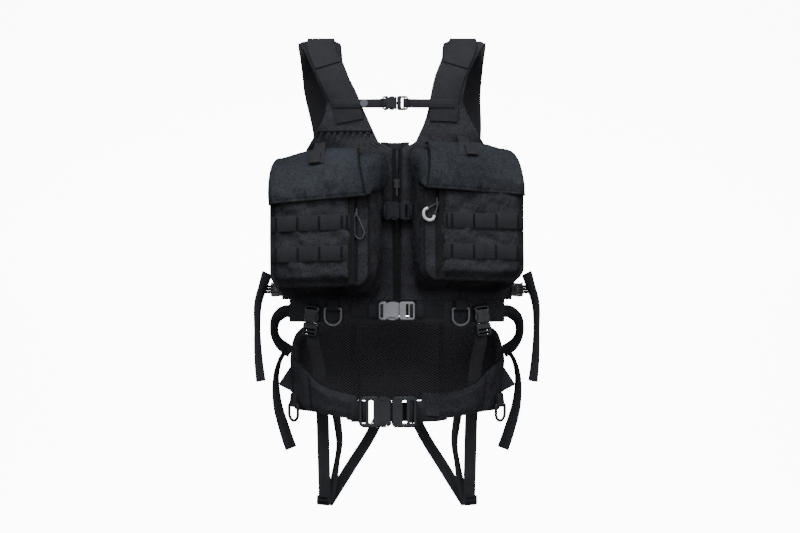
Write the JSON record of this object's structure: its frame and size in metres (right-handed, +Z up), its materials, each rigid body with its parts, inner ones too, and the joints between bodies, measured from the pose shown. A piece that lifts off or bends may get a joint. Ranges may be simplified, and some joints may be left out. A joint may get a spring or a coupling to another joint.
{
  "type": "safety harness vest",
  "caption": "Load-carrying safety harness vest: padded shoulder yoke, zipped front with flap pockets, lumbar belt with large buckle and leg straps.",
  "frame": {"origin": "between the two shoulder pads, level with the underside of their highest point, where the vest rests on the shoulders", "axes": "+Z up, +X towards the wearer's left, the front faces -Y"},
  "size_m": [0.4924, 0.3401, 0.8246],
  "materials": {
    "nylon_cloth": "coated plain-weave nylon",
    "air_mesh": "open spacer mesh",
    "webbing": "woven nylon webbing",
    "black_acetal": "moulded, satin",
    "grey_acetal": "moulded, frosted",
    "coated_wire": "dark coated wire",
    "coated_metal": "dark coated zinc",
    "zip_teeth": "moulded coil",
    "pull_cord": "thin braided cord"
  },
  "bodies": {
    "root": {"back_panel": "nylon_cloth", "belt_buckle_plug": "black_acetal", "belt_buckle_socket": "black_acetal", "belt_pad": "air_mesh", "belt_webbing": "webbing", "belt_wings": "nylon_cloth", "chest_panel_left": "nylon_cloth", "chest_panel_right": "nylon_cloth", "front_zip_chain": "zip_teeth", "haul_loop": "webbing", "leg_buckle_plugs": "black_acetal", "leg_buckle_sockets": "black_acetal", "leg_straps": "webbing", "load_webbing": "webbing", "pocket_left": "nylon_cloth", "pocket_right": "nylon_cloth", "pouch_left": "nylon_cloth", "pouch_right": "nylon_cloth", "shoulder_pad_left": "air_mesh", "shoulder_pad_right": "air_mesh", "shoulder_webbing": "webbing", "side_ladder_locks": "black_acetal", "side_straps": "webbing", "sternum_buckle_plug": "black_acetal", "sternum_buckle_socket": "black_acetal", "sternum_snap": "coated_metal", "sternum_strap": "webbing", "waist_buckle_plug": "grey_acetal", "waist_buckle_socket": "grey_acetal", "waistband": "nylon_cloth", "webbing_tabs": "webbing", "zip_buckle_plug": "black_acetal", "zip_buckle_socket": "black_acetal", "zip_strap": "webbing"},
    "sternum_latch_upper": {"sternum_latch_upper": "black_acetal"},
    "sternum_latch_lower": {"sternum_latch_lower": "black_acetal"},
    "zip_latch_upper": {"zip_latch_upper": "black_acetal"},
    "zip_latch_lower": {"zip_latch_lower": "black_acetal"},
    "waist_latch_upper": {"waist_latch_upper": "grey_acetal"},
    "waist_latch_lower": {"waist_latch_lower": "grey_acetal"},
    "belt_latch_upper": {"belt_latch_upper": "black_acetal"},
    "belt_latch_lower": {"belt_latch_lower": "black_acetal"},
    "leg_latch_outer_left": {"leg_latch_outer_left": "black_acetal"},
    "leg_latch_inner_left": {"leg_latch_inner_left": "black_acetal"},
    "leg_latch_outer_right": {"leg_latch_outer_right": "black_acetal"},
    "leg_latch_inner_right": {"leg_latch_inner_right": "black_acetal"},
    "flap_left": {"pocket_flap_left": "nylon_cloth"},
    "pouch_pull_left": {"pouch_zip_pull_left": "pull_cord"},
    "flap_right": {"pocket_flap_right": "nylon_cloth"},
    "pouch_pull_right": {"pouch_zip_pull_right": "pull_cord"},
    "zip_slider": {"front_zip_slider": "coated_metal"},
    "zip_pull": {"front_zip_pull": "coated_metal"},
    "d_ring_left": {"d_ring_left": "coated_wire"},
    "d_ring_right": {"d_ring_right": "coated_wire"},
    "belt_ring_left": {"belt_ring_left": "coated_wire"},
    "belt_ring_right": {"belt_ring_right": "coated_wire"},
    "shoulder_ring_left": {"shoulder_ring_left": "coated_wire"},
    "shoulder_ring_right": {"shoulder_ring_right": "coated_wire"},
    "leg_slider_left": {"leg_slider_left": "black_acetal"},
    "leg_slider_right": {"leg_slider_right": "black_acetal"}
  },
  "joints": [
    {"name": "sternum_latch_upper_squeeze", "type": "hinge", "parent": "root", "child": "sternum_latch_upper", "pos_m": [-0.00146, -0.12155, -0.1012], "axis": [0, -1, 0], "range_deg": [0, 6], "stiffness_Nm_per_rad": 0.06},
    {"name": "sternum_latch_lower_squeeze", "type": "hinge", "parent": "root", "child": "sternum_latch_lower", "pos_m": [-0.00146, -0.12155, -0.1188], "axis": [0, 1, 0], "range_deg": [0, 6], "stiffness_Nm_per_rad": 0.06},
    {"name": "zip_latch_upper_squeeze", "type": "hinge", "parent": "root", "child": "zip_latch_upper", "pos_m": [0.00349, -0.1308, -0.28136], "axis": [0, -1, 0], "range_deg": [0, 6], "stiffness_Nm_per_rad": 0.06},
    {"name": "zip_latch_lower_squeeze", "type": "hinge", "parent": "root", "child": "zip_latch_lower", "pos_m": [0.00349, -0.1308, -0.30463], "axis": [0, 1, 0], "range_deg": [0, 6], "stiffness_Nm_per_rad": 0.06},
    {"name": "waist_latch_upper_squeeze", "type": "hinge", "parent": "root", "child": "waist_latch_upper", "pos_m": [0.00221, -0.12773, -0.45037], "axis": [0, -1, 0], "range_deg": [0, 6], "stiffness_Nm_per_rad": 0.06},
    {"name": "waist_latch_lower_squeeze", "type": "hinge", "parent": "root", "child": "waist_latch_lower", "pos_m": [0.00221, -0.12773, -0.47363], "axis": [0, 1, 0], "range_deg": [0, 6], "stiffness_Nm_per_rad": 0.06},
    {"name": "belt_latch_upper_squeeze", "type": "hinge", "parent": "root", "child": "belt_latch_upper", "pos_m": [-0.01162, -0.1546, -0.61028], "axis": [0, -1, 0], "range_deg": [0, 6], "stiffness_Nm_per_rad": 0.06},
    {"name": "belt_latch_lower_squeeze", "type": "hinge", "parent": "root", "child": "belt_latch_lower", "pos_m": [-0.01162, -0.1546, -0.64972], "axis": [0, 1, 0], "range_deg": [0, 6], "stiffness_Nm_per_rad": 0.06},
    {"name": "leg_latch_outer_left_squeeze", "type": "hinge", "parent": "root", "child": "leg_latch_outer_left", "pos_m": [0.15564, -0.09871, -0.4803], "axis": [0.3371, -0.9415, 0], "range_deg": [0, 6], "stiffness_Nm_per_rad": 0.06},
    {"name": "leg_latch_inner_left_squeeze", "type": "hinge", "parent": "root", "child": "leg_latch_inner_left", "pos_m": [0.13673, -0.10547, -0.48241], "axis": [-0.3371, 0.9415, 0], "range_deg": [0, 6], "stiffness_Nm_per_rad": 0.06},
    {"name": "leg_latch_outer_right_squeeze", "type": "hinge", "parent": "root", "child": "leg_latch_outer_right", "pos_m": [-0.15564, -0.09871, -0.4803], "axis": [0.3371, 0.9415, 0], "range_deg": [0, 6], "stiffness_Nm_per_rad": 0.06},
    {"name": "leg_latch_inner_right_squeeze", "type": "hinge", "parent": "root", "child": "leg_latch_inner_right", "pos_m": [-0.13673, -0.10547, -0.48241], "axis": [-0.3371, -0.9415, 0], "range_deg": [0, 6], "stiffness_Nm_per_rad": 0.06},
    {"name": "flap_left_lift", "type": "hinge", "parent": "root", "child": "flap_left", "pos_m": [0.11106, -0.10763, -0.186], "axis": [-0.9644, -0.2644, 0], "range_deg": [0, 100]},
    {"name": "pouch_zip_left_slide", "type": "slide", "parent": "root", "child": "pouch_pull_left", "axis": [0, 0, -1], "range_m": [-0.012, 0.06]},
    {"name": "flap_right_lift", "type": "hinge", "parent": "root", "child": "flap_right", "pos_m": [-0.11106, -0.10763, -0.186], "axis": [-0.9644, 0.2644, 0], "range_deg": [0, 100]},
    {"name": "pouch_zip_right_slide", "type": "slide", "parent": "root", "child": "pouch_pull_right", "axis": [0, 0, -1], "range_m": [-0.012, 0.06]},
    {"name": "front_zip_slide", "type": "slide", "parent": "root", "child": "zip_slider", "axis": [0, 0, -1], "range_m": [-0.045, 0.165]},
    {"name": "front_zip_pull_swing", "type": "hinge", "parent": "zip_slider", "child": "zip_pull", "pos_m": [0, -0.1219, -0.2425], "axis": [-1, 0, 0], "range_deg": [0, 150]},
    {"name": "d_ring_left_swing", "type": "hinge", "parent": "root", "child": "d_ring_left", "pos_m": [0.109, -0.11067, -0.4585], "axis": [-0.9648, -0.263, 0], "range_deg": [0, 120]},
    {"name": "d_ring_right_swing", "type": "hinge", "parent": "root", "child": "d_ring_right", "pos_m": [-0.109, -0.11067, -0.4585], "axis": [-0.9648, 0.263, 0], "range_deg": [0, 120]},
    {"name": "belt_ring_left_swing", "type": "hinge", "parent": "root", "child": "belt_ring_left", "pos_m": [0.17951, -0.06081, -0.627], "axis": [-0.6247, -0.7809, 0], "range_deg": [0, 120]},
    {"name": "belt_ring_right_swing", "type": "hinge", "parent": "root", "child": "belt_ring_right", "pos_m": [-0.17951, -0.06081, -0.627], "axis": [-0.6247, 0.7809, 0], "range_deg": [0, 120]},
    {"name": "shoulder_ring_left_swing", "type": "hinge", "parent": "root", "child": "shoulder_ring_left", "pos_m": [0.116, 0.018, 0.01738], "axis": [1, 0, 0], "range_deg": [-12, 140]},
    {"name": "shoulder_ring_right_swing", "type": "hinge", "parent": "root", "child": "shoulder_ring_right", "pos_m": [-0.134, 0.018, 0.01738], "axis": [1, 0, 0], "range_deg": [-12, 140]},
    {"name": "leg_slider_left_slide", "type": "slide", "parent": "root", "child": "leg_slider_left", "axis": [0.033, -0.0544, 0.998], "range_m": [0, 0.05]},
    {"name": "leg_slider_right_slide", "type": "slide", "parent": "root", "child": "leg_slider_right", "axis": [-0.033, -0.0544, 0.998], "range_m": [0, 0.05]}
  ],
  "couplings": [
    {"joint": "sternum_latch_lower_squeeze", "follows": "sternum_latch_upper_squeeze", "ratio": 1},
    {"joint": "zip_latch_lower_squeeze", "follows": "zip_latch_upper_squeeze", "ratio": 1},
    {"joint": "waist_latch_lower_squeeze", "follows": "waist_latch_upper_squeeze", "ratio": 1},
    {"joint": "belt_latch_lower_squeeze", "follows": "belt_latch_upper_squeeze", "ratio": 1},
    {"joint": "leg_latch_inner_left_squeeze", "follows": "leg_latch_outer_left_squeeze", "ratio": 1},
    {"joint": "leg_latch_inner_right_squeeze", "follows": "leg_latch_outer_right_squeeze", "ratio": 1}
  ]
}
